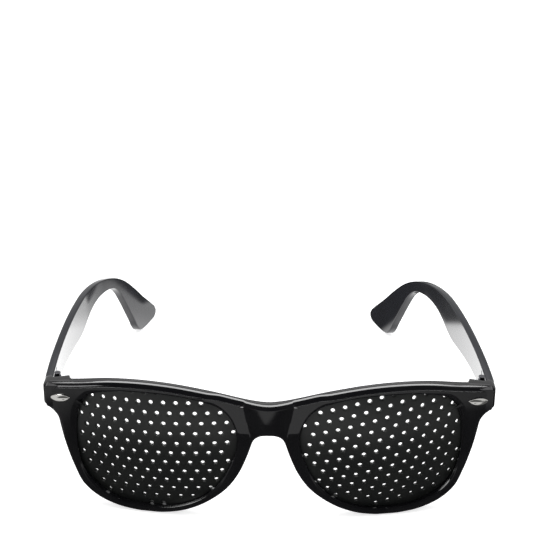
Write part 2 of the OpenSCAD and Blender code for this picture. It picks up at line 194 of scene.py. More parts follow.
# %% [markdown]
# ## Finishes
# Injection-moulded plastic is one colour all through. What differs is the gloss: the front is polished like piano
# lacquer, the plates are satin, the temples lie between. Real gloss is never even, so a slow noise shifts the
# roughness a little, and a very low, wide bump gives reflections the slight waver of a moulded part. Handling leaves
# fine dust and smears, which a second, finer noise hints at. A painted image would need unwrapping; noise does not.


# %% Node helpers
def new_finish(name):
    """An empty material with its shader and a source of object coordinates."""
    material = bpy.data.materials.new(name)
    material.use_nodes = True
    nodes, links = material.node_tree.nodes, material.node_tree.links
    shader = nodes["Principled BSDF"]
    place = nodes.new("ShaderNodeTexCoord").outputs["Object"]
    print("finish:", name)
    return material, nodes, links, shader, place


def cloud(nodes, links, place, size_mm, detail=3.0):
    """Noise whose patches are about size_mm across."""
    noise = nodes.new("ShaderNodeTexNoise")
    noise.inputs["Scale"].default_value = 1 / (size_mm * MM)
    noise.inputs["Detail"].default_value = detail
    links.new(place, noise.inputs["Vector"])
    return noise.outputs["Fac"]


def spread(nodes, links, value, low, high, from_low=0.3, from_high=0.7):
    """Maps a value from one range to another."""
    span = nodes.new("ShaderNodeMapRange")
    for name, number in (("From Min", from_low), ("From Max", from_high), ("To Min", low), ("To Max", high)):
        span.inputs[name].default_value = number
    links.new(value, span.inputs["Value"])
    return span.outputs["Result"]


def tint(nodes, links, value, dark, light):
    """A colour between two close tones."""
    ramp = nodes.new("ShaderNodeValToRGB")
    for stop, position, colour in zip(ramp.color_ramp.elements, (0.3, 0.7), (dark, light)):
        stop.position, stop.color = position, (*colour, 1)
    links.new(value, ramp.inputs["Fac"])
    return ramp.outputs["Color"]


def relief(nodes, links, value, height_mm, under=None):
    """A bump of a real height: a value from 0 to 1 raises the surface by height_mm."""
    bump = nodes.new("ShaderNodeBump")
    bump.inputs["Strength"].default_value = 1
    bump.inputs["Distance"].default_value = height_mm * MM
    links.new(value, bump.inputs["Height"])
    if under is not None:
        links.new(under, bump.inputs["Normal"])
    return bump.outputs["Normal"]


# %% Moulded plastics
def moulded(name, dark, light, gloss, waver_mm, grain_mm=0.0, mirror=0.4):
    """Solid-coloured plastic. gloss is its lowest and highest roughness, waver_mm the height of its slow waves,
    grain_mm that of its satin grain, and mirror how much it reflects when seen squarely."""
    material, nodes, links, shader, place = new_finish(name)
    slow = cloud(nodes, links, place, 9, 2)
    fine = cloud(nodes, links, place, 0.5, 4)
    links.new(tint(nodes, links, slow, dark, light), shader.inputs["Base Color"])
    links.new(spread(nodes, links, fine, *gloss), shader.inputs["Roughness"])
    normal = relief(nodes, links, slow, waver_mm)
    if grain_mm:
        normal = relief(nodes, links, cloud(nodes, links, place, 0.25, 2), grain_mm, normal)
    links.new(normal, shader.inputs["Normal"])
    shader.inputs["IOR"].default_value = 1.45
    shader.inputs["Specular IOR Level"].default_value = mirror
    return material


front_gloss = moulded("front_gloss_black", (0.005, 0.005, 0.006), (0.008, 0.008, 0.009), (0.05, 0.10), 0.012)
plate_satin = moulded("plate_satin_black", (0.010, 0.011, 0.011), (0.015, 0.016, 0.015), (0.30, 0.38), 0.01, 0.003)
temple_satin = moulded("temple_navy_black", (0.009, 0.010, 0.014), (0.013, 0.014, 0.020), (0.10, 0.16), 0.012,
                       mirror=0.2)


# %% Metals
def plated(name, colour, gloss, scratch_mm):
    """Plated metal with fine rubbing marks along one direction."""
    material, nodes, links, shader, place = new_finish(name)
    stretch = nodes.new("ShaderNodeMapping")
    stretch.inputs["Scale"].default_value = (0.15, 1, 1)
    links.new(place, stretch.inputs["Vector"])
    marks = cloud(nodes, links, stretch.outputs["Vector"], 0.15, 5)
    slow = cloud(nodes, links, place, 2, 2)
    links.new(tint(nodes, links, slow, [c * 0.9 for c in colour], colour), shader.inputs["Base Color"])
    links.new(spread(nodes, links, marks, *gloss), shader.inputs["Roughness"])
    links.new(relief(nodes, links, marks, scratch_mm), shader.inputs["Normal"])
    shader.inputs["Metallic"].default_value = 1
    return material


stud_chrome = plated("stud_bright_metal", (0.80, 0.79, 0.76), (0.06, 0.14), 0.003)
hinge_nickel = plated("hinge_dark_nickel", (0.11, 0.11, 0.12), (0.22, 0.36), 0.004)

# %% [markdown]
# ## The front
# On the real glasses the front is one moulding: a thin curved slab with two lens openings, a rounded border that a
# fine groove parts from the face, a proud bridge panel between two creases, nose pads behind, and end pieces that
# turn back to the temples. A Boolean of simple solids gives the shape but not the soft edges. So the right half is
# worked out as rows of points: spokes run from the lens opening to the outline, and every band of the surface is a
# profile carried along those two curves. The left half is its mirror image.

# %% Outlines of the front
outline_drawn = [
    [0, 41.0], [5, 41.55], [10, 42.6], [15, 43.75], [20, 44.75], [30, 46.2], [40, 46.7],
    [50, 46.2], [60, 44.6], [69.9, 42.95], [71.2, 42.45], [71.5, 41.5], [71.5, 37.2],
    [71.4, 36.2], [70.6, 35.25], [69.65, 34.45], [68.65, 33.75], [67.95, 33.0], [67.35, 32.2],
    [66.95, 31.2], [66.45, 28.5], [65.45, 23.5], [64.1, 18.5], [62.6, 14], [60, 8.2], [55.3, 3.9],
    [49, 1.2], [42.5, 0.1], [37.5, -0.06], [33.2, 0.2], [27.3, 1.45], [20.5, 4.6], [13.35, 10.4],
    [9.25, 16.4], [6.65, 22.6], [5.2, 27], [4.85, 28], [4.35, 28.95], [3.6, 29.6], [2.4, 30.2], [0, 30.4],
]
opening_drawn = [
    [10.1, 31.5], [12.6, 37.6], [18.5, 42], [27, 44.2], [38, 44.9], [49, 44.2],
    [56.3, 41.4], [60, 35.5], [61.1, 27], [60.9, 20.5], [59.2, 13.5], [55.2, 7.8],
    [48.5, 3.9], [39.5, 2.6], [30, 3.4], [21.5, 7], [15.3, 13.3], [11.6, 20.8], [10, 26.5],
]
whole = np.array(outline_drawn + [[-x, z] for x, z in outline_drawn[-2:0:-1]])
right_half = smooth_curve(whole)[: (len(outline_drawn) - 1) * 24 + 1]
outline = even_points(np.clip(right_half, [0, 0], [HALF_WIDTH, BROW_TOP]), 460)
# The upper lip hangs a little lower than the groove behind it, in which the plate sits.
lip_drop = np.array([0, 0.3, 0.7, 0.85, 0.85, 0.85, 0.6, 0.25, 0])
lip_drawn = np.array(opening_drawn)
lip_drawn[:len(lip_drop), 1] -= lip_drop
opening = smooth_curve(lip_drawn)
print("outline of one half:", round(run_length(outline)[-1], 1), "mm")


# %% Directions square to a curve, and how wide the border is
def inward(curve, closed=False):
    """Unit vectors square to a clockwise curve, pointing inside it: the direction of travel, turned a quarter."""
    if closed:
        along = np.roll(curve, -1, 0) - np.roll(curve, 1, 0)
    else:
        along = np.gradient(curve, axis=0)
        along[0], along[-1] = [1, 0], [-1, 0]
    along /= np.linalg.norm(along, axis=1, keepdims=True)
    return np.stack([along[:, 1], -along[:, 0]], axis=1)


BROW_WIDER, PANEL_NARROWER = 0.4, 0.42
outline_in = inward(outline)
on_brow = ease(0.35, 0.85, -outline_in[:, 1]) * (outline[:, 1] > 38)
on_panel = on_brow * ease(8.4, 7.0, outline[:, 0])
border_width = BORDER + BROW_WIDER * on_brow - PANEL_NARROWER * on_panel
border_line = outline + border_width[:, None] * outline_in
print("border:", border_width.min().round(2), "to", border_width.max().round(2), "mm wide")
centre_z = np.linspace(border_line[-1, 1], border_line[0, 1], 16)
centre_line = np.stack([0 * centre_z, centre_z], axis=1)
rim_loop = np.vstack([border_line, centre_line[1:-1]])

# %% The lens opening, met by one spoke for each point of the outline
angle = np.unwrap(np.arctan2(*(rim_loop - SPOKE_CENTRE).T[::-1]))
opening_angle = np.arctan2(*(opening - SPOKE_CENTRE).T[::-1])
order = np.argsort(opening_angle)
wrapped = (angle + np.pi) % (2 * np.pi) - np.pi
lens_line = np.stack([np.interp(wrapped, opening_angle[order], opening[order, k], period=2 * np.pi)
                      for k in (0, 1)], axis=1)
lens_out = -inward(lens_line, closed=True)
rim_width = np.linalg.norm(rim_loop - lens_line, axis=1)
print("narrowest and widest rim:", rim_width.min().round(1), rim_width.max().round(1), "mm")

# %% The curved face and the bridge panel
PANEL_CROWN, PANEL_DIP, STEP_RUN, LEAN = 0.4, 0.3, 0.3, 0.08
PANEL_FADES = (29.6, 35.0)


def panel_edge(z):
    """Half width of the bridge panel at a height: it narrows evenly towards the nose."""
    return np.interp(z, [27, 41.5], [5.15, 7.75])


def face_depth(x, z):
    """Depth of the front face, an upright cylinder. Between the creases the panel swells forward in the middle and
    dips at its edges, by 0.7 (x/w)^2 - 0.4 mm, and past the crease a short step comes back to the face. Both fade out
    just above the nose arch. Beside the panel the face leans back by 0.08 mm for each mm that it rises."""
    plain = FACE_START + FACE_RADIUS - np.sqrt(FACE_RADIUS**2 - x**2)
    across = np.abs(x) / panel_edge(z)
    panel = (PANEL_CROWN + PANEL_DIP) * np.minimum(across, 1) ** 2 - PANEL_CROWN
    past = (np.abs(x) - panel_edge(z)) / STEP_RUN
    lean = LEAN * np.maximum(z - 31.6, 0) * ease(20, 15, np.abs(x)) * ease(0, 1, past)
    step = np.where(past < 0, panel, PANEL_DIP * (1 - ease(0, 1, past))) * ease(*PANEL_FADES, z)
    return plain + lean + step


def rear_depth(x):
    """Depth of the rear face: a cylinder about the same axis, one rim thickness smaller."""
    return FACE_START + FACE_RADIUS - np.sqrt((FACE_RADIUS - RIM_THICK) ** 2 - x**2)


# %% The bevel round the lens: 0.6 of the rim's width, narrow by the bridge, and smoothed by a running mean
bevel = np.clip(0.6 * (rim_width - BORDER), 0.6, 2.0)
by_bridge = 0.55 + 0.1 * np.maximum(lens_line[:, 0] - 12, 0)
bevel = np.where(lens_line[:, 0] < 20, np.minimum(bevel, by_bridge), bevel)
mean_of = np.hanning(21) / np.hanning(21).sum()
bevel = np.convolve(np.tile(bevel, 3), mean_of, "same")[len(bevel):2 * len(bevel)]
face_start = lens_line + bevel[:, None] * lens_out
print("bevel:", bevel.min().round(2), "to", bevel.max().round(2), "mm wide")


# %% Face of the front: rows from the lens bevel to the border, bunched where a spoke meets the crease
def crease_share(start, end):
    """How far along each spoke it meets the crease, from 0 to 1, found on a fine row of trial points."""
    trial = np.linspace(0, 1, 200)[:, None]
    x = start[:, 0] + trial * (end[:, 0] - start[:, 0])
    z = start[:, 1] + trial * (end[:, 1] - start[:, 1])
    inside = np.abs(x) < panel_edge(z)
    return np.where(inside.any(0), trial[:, 0][inside.argmax(0)], 1.0)


crease = crease_share(face_start, rim_loop)
spoke = np.linalg.norm(rim_loop - face_start, axis=1)
near = lambda mm: np.clip(crease + mm / spoke, 0.02, 0.98)
even_rows = np.array([0, 0.12, 0.24, 0.30, 0.36, 0.42, 0.50, 0.56, 0.7, 0.85, 1.0])
crease_rows = np.stack([0 * crease] + [near(mm) for mm in (-0.9, -0.45, -0.3, -0.15, 0, 0.12, 0.4)])
pull = ease(0.999, 0.9, crease)[None, :]
knots = np.vstack([crease_rows, near(0.4) + (1 - near(0.4)) * np.array([[0.33], [0.66], [1.0]])])
knots = np.maximum.accumulate(knots, axis=0)
rows_at = even_rows[:, None] * (1 - pull) + knots * pull
fine_row = np.linspace(0, len(even_rows) - 1, 31)
low = np.floor(fine_row).astype(int).clip(0, len(even_rows) - 2)
share = rows_at[low] + (fine_row - low)[:, None] * (rows_at[low + 1] - rows_at[low])
face_xz = face_start[None] + share[..., None] * (rim_loop - face_start)[None]
face_grid = in_frame(face_xz[..., 0], face_depth(face_xz[..., 0], face_xz[..., 1]), face_xz[..., 1])
print("face, rows and spokes:", face_grid.shape[:2])

# %% Lens bevel, lip and wall: a profile carried round each opening
roll = np.linspace(0, 1, 9)
bevel_out = bevel[None, :] * (1 - roll[:, None]) + 0.2 * roll[:, None]
bevel_deep = 0.45 * bevel[None, :] * roll[:, None] ** 1.8
lip = np.linspace(0, np.pi / 2, 6)[1:, None]
lens_offset = np.vstack([bevel_out, 0.2 * (1 - np.sin(lip)) + 0 * bevel])
lens_deep = np.vstack([bevel_deep, 0.45 * bevel + 0.2 * (1 - np.cos(lip))])
lens_xz = lens_line[None] + lens_offset[..., None] * lens_out[None]
lens_y = face_depth(face_start[:, 0], face_start[:, 1])[None] + lens_deep
lens_front = in_frame(lens_xz[..., 0], lens_y, lens_xz[..., 1])
rear_offset = np.array([0, 0, 0.05, 0.2, 0.4])[:, None] + 0 * bevel
rear_up = np.array([2.0, 0.4, 0.2, 0.05, 0])[:, None]
rear_xz = lens_line[None] + rear_offset[..., None] * lens_out[None]
lens_rear = in_frame(rear_xz[..., 0], rear_depth(rear_xz[..., 0]) - rear_up, rear_xz[..., 1])
lens_wall = np.vstack([lens_front, lens_rear])
print("lens wall, rows and spokes:", lens_wall.shape[:2])


# %% How deep the edge of the front reaches: end blocks and nose pads go back further
FIN_RADIUS, FIN_Y, FIN_Z, FIN_WIDTH = 9.57, 0.93, 21.5, 2.4
BLOCK_FROM_X, STRIP_FROM_X, BLOCK_FROM_Z = (62.6, 63.4), (68.7, 69.1), (35.0, 35.5)


def fin_depth(z):
    """Crown of the nose pad, seen from the side: an arc of a circle above the rim."""
    return FIN_Y + np.sqrt(np.maximum(FIN_RADIUS**2 - (z - FIN_Z) ** 2, 0))


x, z = outline.T
plain_rear = rear_depth(x)
on_top = z > 38
edge_deep = plain_rear + on_top * ease(*BLOCK_FROM_X, x) * (PAD_Y - plain_rear)
edge_deep += on_top * ease(*STRIP_FROM_X, x) * (SEAM_Y - PAD_Y)
under_block = plain_rear + ease(*BLOCK_FROM_Z, z) * (SEAM_Y - plain_rear)
edge_deep = np.where(~on_top & (x > 66), under_block, edge_deep)
nasal = (x < 19) & (z < 31) & (z > 12)
over = np.where(nasal, fin_depth(z) - plain_rear, -1)
edge_deep = np.where(nasal, plain_rear + np.sqrt(np.maximum(over, 0) ** 2 + 0.02) - np.sqrt(0.02), edge_deep)
edge_width = np.where(nasal, np.minimum(FIN_WIDTH, rim_width[: len(outline)] - 0.1), BORDER)
edge_width = BORDER + (edge_width - BORDER) * ease(0, 0.8, edge_deep - plain_rear)
print("edge reaches back", edge_deep.min().round(1), "to", edge_deep.max().round(1), "mm")

# %% Three profiles of the border, each row a pair: mm in from the outline, and mm behind the face
bend = np.linspace(0, np.pi / 2, 9)
groove = [[0.95, 0], [0.93, 0.02], [0.91, 0.13], [0.88, 0.15], [0.85, 0.15], [0.82, 0.16], [0.47, 0.40]]
rounding = np.stack([0.18 + 0.27 * (1 - np.sin(bend)), 0.96 - 0.54 * np.cos(bend)], axis=1)
chamfer = [[0.17, 1.0], [0.13, 1.13], [0.08, 1.28], [0.04, 1.42], [0.015, 1.55], [0, 1.68]]
rim_profile = np.vstack([groove, rounding, chamfer])
brow_profile = np.array([
    [1.35, 0], [1.33, 0.02], [1.31, 0.13], [1.28, 0.15], [1.25, 0.15], [1.22, 0.16], [1.10, 0.42], [0.98, 0.52],
    [0.86, 0.62], [0.75, 0.72], [0.65, 0.82], [0.55, 0.93], [0.45, 1.06], [0.36, 1.19], [0.28, 1.33], [0.23, 1.48],
    [0.19, 1.63], [0.15, 1.78], [0.11, 1.93], [0.07, 2.08], [0.03, 2.26], [0, 2.45]])
panel_profile = np.vstack([[
    [0.93, 0], [0.92, 0.005], [0.91, 0.012], [0.90, 0.02], [0.89, 0.04], [0.87, 0.07], [0.84, 0.12], [0.78, 0.24],
    [0.71, 0.38], [0.64, 0.52], [0.57, 0.66], [0.50, 0.80], [0.43, 0.96], [0.355, 1.13]], brow_profile[14:]])
print("rows of the three profiles:", len(rim_profile), len(brow_profile), len(panel_profile))

# %% Border, side and rear edge: the profiles, blended where brow and panel begin, carried along the outline
front_offset, front_deep = [column[:, None] * np.ones(len(outline)) for column in rim_profile.T]
for weight, (offset, deep) in ((on_brow, brow_profile.T), (on_panel, panel_profile.T)):
    front_offset = front_offset + weight * (offset[:, None] - front_offset)
    front_deep = front_deep + weight * (deep[:, None] - front_deep)
edge_y = face_depth(border_line[:, 0], border_line[:, 1]) + front_deep
turn = np.linspace(0, np.pi / 2, 6)[:, None]
wall_rows = np.array([0.33, 0.66])[:, None]
wall_top = edge_deep - 0.5
wall_y = edge_y[-1] + wall_rows * (wall_top - edge_y[-1])
wall_offset = 0 * wall_y
out_offset = 0.5 * (1 - np.cos(turn)) + 0 * edge_deep
out_y = edge_deep - 0.5 * (1 - np.sin(turn))
rounded = 0.45 * ease(0.2, 0.8, edge_deep - plain_rear)
in_offset = edge_width - (1 - np.sin(turn[::-1])) * rounded
in_drop = (1 - np.cos(turn)) * rounded
border_rear = outline + edge_width[:, None] * outline_in
in_y = edge_deep - in_drop
base_y = np.minimum(rear_depth(border_rear[:, 0]), in_y[-1])[None]
all_offset = np.vstack([front_offset, wall_offset, out_offset, in_offset, edge_width[None]])
all_y = np.vstack([edge_y, wall_y, out_y, in_y, base_y])
band_x = outline[:, 0] + all_offset * outline_in[:, 0]
band_z = outline[:, 1] + all_offset * outline_in[:, 1]
edge_band = in_frame(band_x, all_y, band_z)
print("edge band, rows and spokes:", edge_band.shape[:2])

# %% Rear face, then the whole moulding
rear_loop = np.vstack([border_rear, centre_line[1:-1]])
rear_start = lens_line + 0.4 * lens_out
row = np.linspace(0, 1, 9)[:, None, None]
rear_xz = rear_start[None] + row * (rear_loop - rear_start)[None]
rear_y = rear_depth(rear_xz[..., 0])
rear_y[-1, : len(outline)] = base_y[0]
rear_grid = in_frame(rear_xz[..., 0], rear_y, rear_xz[..., 1])
half_shell = [patch(face_grid, True), patch(lens_wall, True), patch(edge_band), patch(rear_grid, True)]
print("patches in half of the moulding:", len(half_shell))


# %% [markdown]
# ## The end blocks
# Behind each outer corner the moulding thickens into a block. Its inner part carries the hinge leaf, and its outer
# strip runs a little further back to meet the temple. The blocks fill the edge band from inside, so they are plain
# rounded bars: a squarish profile in x and z, carried back in y, with its rear rim rolled over.


# %% A rounded bar
def rounded_bar(x0, x1, z_low, z_high, y0, y1, r=0.35):
    """A bar whose section is a rectangle with round corners. The last rows draw in along a quarter circle."""
    turns = np.linspace(0, 2 * np.pi, 40, endpoint=False)
    cx, cz = np.cos(turns), np.sin(turns)
    roll_in = np.linspace(0, np.pi / 2, 6)
    inset = np.concatenate([[0], r * (1 - np.cos(roll_in)), [r + 0.3, 50]])
    depth = np.concatenate([[y0], y1 - r * (1 - np.sin(roll_in)), [y1, y1]])
    half_x, half_z = (x1 - x0) / 2, (z_high - z_low) / 2
    hx = np.maximum(half_x - inset, 0)[:, None]
    hz = np.maximum(half_z - inset, 0)[:, None]
    corner = np.minimum(np.minimum(hx, hz), r)
    px = np.sign(cx) * np.maximum(hx - corner, 0) + corner * cx
    pz = np.sign(cz) * np.maximum(hz - corner, 0) + corner * cz
    grid = in_frame((x0 + x1) / 2 + px, depth[:, None] + 0 * px, (z_low + z_high) / 2 + pz)
    front = grid[:1].mean(axis=1, keepdims=True) + 0 * grid[:1]
    return patch(np.vstack([front, grid]), True)


end_blocks = [
    rounded_bar(63.1, 70.4, 35.4, 42.9, 10, PAD_Y - 0.01, 0.8),
    rounded_bar(69.0, 71.1, 36.0, 42.2, 12, SEAM_Y - 0.01, 0.2),
]
front_parts = half_shell + end_blocks
piece("moulded_front", front_parts + mirrored(front_parts), "front", front_gloss, "front_frame")

# %% [markdown]
# ## The pinhole plates
# Each plate is a shallow dome, pressed full of tapered holes in rows sixty degrees apart. A Boolean could drill them
# one by one, but it is slow and leaves ragged faces. So one small cell, a hexagon with a hole in its middle, is laid
# out at every place of the rows, and the whole plate is a honeycomb that closes on itself. The flat plan is then
# wrapped onto the dome, as paper onto a ball, and trimmed to the outline that sits in the groove of the rim.


# %% One cell of the honeycomb: rings of 18 points, each with its radius and its share of the plate's thickness
PITCH, HOLE_FRONT, HOLE_BACK, HOLE_MARGIN = 4.0, 0.74, 0.58, 0.4
cell_turn = np.radians(10 + 20 * np.arange(18))
from_corner = (cell_turn - np.pi / 6) % (np.pi / 3)
hexagon = PITCH / 2 / np.cos(from_corner - np.pi / 6)
holed_rings = [(hexagon, 0.0), (1.25, 0.0), (0.93, 0.0), (0.83, 0.03), (0.77, 0.10), (HOLE_FRONT, 0.2),
               (HOLE_BACK, 0.9), (0.72, 1.0), (hexagon, 1.0)]
blank_rings = [(hexagon, 0.0), (1.2, 0.0), (0.0, 0.0)]
print("faces in one holed cell:", 18 * (len(holed_rings) - 1))


def on_dome(plan, deep):
    """Plan to space: a distance along the dome becomes an angle, distance / radius, about the dome's centre; deep
    moves a point towards that centre."""
    away = np.maximum(np.linalg.norm(plan, axis=-1), 1e-9)
    side = np.sin(away / DOME_RADIUS)[..., None] * plan / away[..., None]
    out = DOME_RADIUS - deep
    local_x, local_z = out * side[..., 0], out * side[..., 1]
    local_y = DOME_RADIUS - out * np.cos(away / DOME_RADIUS)
    x = LENS_X + np.cos(DOME_TURN) * local_x - np.sin(DOME_TURN) * local_y
    y = LENS_Y + np.sin(DOME_TURN) * local_x + np.cos(DOME_TURN) * local_y
    return np.stack([x, y, LENS_Z + local_z], axis=-1)


# %% Inside an outline, and the nearest point on it
def inside(points, ring):
    """A point is inside where a level ray from it crosses the ring an odd number of times."""
    a, b = ring, np.roll(ring, -1, 0)
    px, pz = points[:, :1], points[:, 1:]
    spans = (a[:, 1] > pz) != (b[:, 1] > pz)
    cross = a[:, 0] + (b[:, 0] - a[:, 0]) * (pz - a[:, 1]) / (b[:, 1] - a[:, 1] + 1e-12)
    return (spans & (px < cross)).sum(1) % 2 == 1


def nearest_on(points, ring):
    """The closest point of the ring: the foot on each of its short straight pieces, and the best of them."""
    a, d = ring, np.roll(ring, -1, 0) - ring
    t = np.clip(((points[:, None] - a) * d).sum(-1) / (d * d).sum(-1), 0, 1)
    foot = a + t[..., None] * d
    best = ((points[:, None] - foot) ** 2).sum(-1).argmin(1)
    return foot[np.arange(len(points)), best]


plate_ring = smooth_curve(opening_drawn, steps=12)
plate_ring = plate_ring + inward(plate_ring, closed=True) * -PLATE_EDGE
hole_limit = smooth_curve(opening_drawn, steps=12)
hole_limit = hole_limit + inward(hole_limit, closed=True) * HOLE_MARGIN
print("outline of a plate:", run_length(plate_ring)[-1].round(1), "mm")
DOME_CENTRE = np.array([LENS_X - DOME_RADIUS * np.sin(DOME_TURN), LENS_Y + DOME_RADIUS * np.cos(DOME_TURN), LENS_Z])


def onto_dome(spot, deep):
    """The dome's point in front of a spot (x, z), then moved in towards the dome's centre."""
    dx, dz = spot[..., 0] - DOME_CENTRE[0], spot[..., 1] - DOME_CENTRE[2]
    y = DOME_CENTRE[1] - np.sqrt(DOME_RADIUS**2 - dx**2 - dz**2)
    point = np.stack([spot[..., 0], y, spot[..., 1]], -1)
    return DOME_CENTRE + (point - DOME_CENTRE) * ((DOME_RADIUS - deep) / DOME_RADIUS)[..., None]


# %% A whole plate
def cells(centres, rings, turn):
    """The rings of every cell at once: centre + radius (cos, sin), and each ring's depth."""
    radius = np.stack([r * np.ones(18) for r, _ in rings])
    flat = radius[..., None] * np.stack([np.cos(cell_turn + turn), np.sin(cell_turn + turn)], -1)
    plan = centres[:, None, None] + flat[None]
    deep = np.array([d for _, d in rings])[None, :, None] * PLATE_THICK + 0 * plan[..., 0]
    return plan, deep


def cell_faces(count, rings):
    """Faces between neighbouring rings, for all the cells."""
    number = np.arange(count * rings * 18).reshape(count, rings, 18)
    after = np.roll(number, -1, axis=2)
    return np.stack([number[:, :-1], after[:, :-1], after[:, 1:], number[:, 1:]], -1).reshape(-1, 4)


def plate_parts(side, turn_degrees, start):
    """One plate, made on the right side. side is -1 for the plate that goes to the left: mirroring it later puts its
    rows back as photographed. start is the plan place of one hole, in mm. Points past the outline move onto it."""
    turn = np.radians(turn_degrees)
    j, i = (g.ravel() for g in np.meshgrid(np.arange(-10, 11), np.arange(-15, 16), indexing="ij"))
    u, w = PITCH * (i + j / 2), PITCH * j * np.sqrt(3) / 2
    plan = np.stack([side * (start[0] + np.cos(turn) * u - np.sin(turn) * w),
                     start[1] + np.sin(turn) * u + np.cos(turn) * w], 1)
    flat = on_dome(plan, 0)[:, [0, 2]]
    holed = inside(flat, hole_limit)
    close = np.linalg.norm(flat - nearest_on(flat, plate_ring), axis=1) < PITCH * 0.7
    blank = ~holed & (inside(flat, plate_ring) | close)
    cell_tilt = side * turn
    parts = []
    blank_back = [(radius, 1.0) for radius, _ in blank_rings]
    layers = [(plan[holed], holed_rings), (plan[blank], blank_rings), (plan[blank], blank_back)]
    for centres, rings in layers:
        at, deep = cells(centres, rings, cell_tilt)
        outer = on_dome(at, 0)
        shape = outer.shape[:-1]
        spot = outer.reshape(-1, 3)[:, [0, 2]]
        out = ~inside(spot, plate_ring)
        spot[out] = nearest_on(spot[out], plate_ring)
        space = onto_dome(spot.reshape(*shape, 2), deep)
        parts.append((in_frame(*np.moveaxis(space, -1, 0)).reshape(-1, 3), cell_faces(len(centres), len(rings))))
    print("holes in one plate:", int(holed.sum()))
    return parts


left_parts = mirrored(plate_parts(-1, 1.3, (3.4, -1.1)))
right_parts = plate_parts(1, 13.9, (-4.3, 0.2))
for side, name, parts in ((-1, "left", left_parts), (1, "right", right_parts)):
    centre = Vector(in_frame(*DOME_CENTRE)) * Vector((side, 1, 1))
    dome = (centre, DOME_RADIUS * MM, (DOME_RADIUS - PLATE_THICK) * MM)
    piece("plate_" + name, parts, "front", plate_satin, "pinhole_plate_" + name, 50, dome)

# %% [markdown]
# ## The studs
# Near each outer corner sits a pressed metal stud, a pointed oval with a low dome. A flattened sphere would lose the
# two points, so it is a set of rings: each is the same pointed oval drawn in towards the middle, and its depth
# follows a sphere, with a small rolled edge where the dome turns down into its seat. A long shallow dent on the side
# of the lens gives it the dark streak that it has in the photograph.

# %% Stud
STUD_X, STUD_Z, STUD_L, STUD_H = 65.9, 39.0, 7.1, 2.6
STUD_RISE, STUD_SINK, STUD_SLOPE = 0.45, 0.35, 0.1
DENT_DEEP, DENT_X, DENT_Z, DENT_L, DENT_H = 0.22, -1.3, -0.1, 1.5, 0.55


def pointed_oval(turns):
    """Distance from the middle to the edge: where a ray meets the nearer of two equal circles."""
    r = (STUD_L**2 + STUD_H**2) / (4 * STUD_H)
    lift = r - STUD_H / 2
    s = np.abs(np.sin(turns))
    return -lift * s + np.sqrt((lift * s) ** 2 + r * r - lift * lift)


def stud_parts():
    """Rings of the stud, by their share of the outline. Depth is the sphere's, r - sqrt(r^2 - u^2 - w^2), plus the
    rolled edge and the dent, which falls off as exp(-u^2 - w^2) in its own lengths."""
    turns = np.linspace(0, 2 * np.pi, 96, endpoint=False)
    edge = pointed_oval(turns)
    share = np.concatenate([np.linspace(0, 0.9, 12), [0.94, 0.97, 0.99, 1.0, 1.0]])[:, None]
    roll_off = np.concatenate([np.zeros(12), [0.01, 0.035, 0.07, 0.13, 5]])[:, None]
    dome_r = (STUD_L**2 / 4 + STUD_RISE**2) / (2 * STUD_RISE)
    u, w = share * edge * np.cos(turns), share * edge * np.sin(turns)
    deep = dome_r - STUD_RISE - np.sqrt(dome_r**2 - u * u - w * w) + roll_off
    deep = deep + DENT_DEEP * np.exp(-((u - DENT_X) / DENT_L) ** 2 - ((w - DENT_Z) / DENT_H) ** 2)
    deep = np.minimum(deep, STUD_SINK)
    tilt = np.arcsin(STUD_X / FACE_RADIUS)
    x = STUD_X + u * np.cos(tilt) - deep * np.sin(tilt)
    y = FACE_START + FACE_RADIUS - np.sqrt(FACE_RADIUS**2 - STUD_X**2) + u * np.sin(tilt) + deep * np.cos(tilt)
    grid = in_frame(x, y, STUD_Z + w - STUD_SLOPE * u)
    back = np.broadcast_to(grid[-1:].mean(axis=1, keepdims=True), grid[:1].shape)
    return [patch(np.vstack([grid, back]), True)]


for side, parts in (("left", mirrored(stud_parts())), ("right", stud_parts())):
    piece("stud_piece_" + side, parts, "front", stud_chrome, "stud_" + side, 60)

# %% [markdown]
# ## The temples
# A temple is a flat blade that bows gently inwards, bends a little more before the ear, narrows past its elbow and
# drops behind the ear. In the photograph the right temple stands turned in by about four degrees. A board with
# Bend and Bevel modifiers would come near, but could not keep the pocket's crisp sides. So each side is a
# net of stations between an upper and a lower chain of points, and its edge is a rounded band that follows the whole
# outline. On the inside a shallow pocket takes the hinge leaf: there the net has doubled lines, and the middle of it
# is pushed in.

# %% Outline of a temple, as two chains
upper_drawn = [[0, 42.1], [17, 42], [33, 41.6], [49, 41.0], [65, 39.8], [78, 38.1], [87, 36.0],
               [95, 32.6], [102, 28.2], [110, 21.4], [118, 13.8], [125, 7.6], [128.2, 4.4]]
tip_drawn = [[128.2, 4.4], [129.15, 2.2], [128, 0.5]]
lower_drawn = [[0, 35.0], [15, 33.4], [31, 31.6], [45, 29.5], [55, 28.1], [61, 28.2], [67, 29.4],
               [74, 31], [81, 31.7], [88, 31], [93, 29.1], [97, 25.6], [101.2, 19.8], [105.2, 13.5],
               [109, 7.4], [111, 3.9], [114, 0.8], [118, -0.06], [125, -0.06], [128, 0.5]]
side_curve = smooth_curve(upper_drawn + tip_drawn[1:] + lower_drawn[-2::-1], closed=False)
upper_fine = side_curve[: (len(upper_drawn) - 1) * 24 + 1]
tip_fine = side_curve[len(upper_fine) - 1: len(upper_fine) + 48]
lower_fine = side_curve[len(upper_fine) + 47:][::-1]
pocket = {"near": 0.35, "far": 9.15, "low": 37.15, "high": 41.12}
stations = np.concatenate([[0, pocket["near"], pocket["near"]], np.linspace(0.8, 8.8, 9), [pocket["far"]] * 2,
                           np.linspace(9.8, 95, 90), np.linspace(95.5, 128.2, 60)])
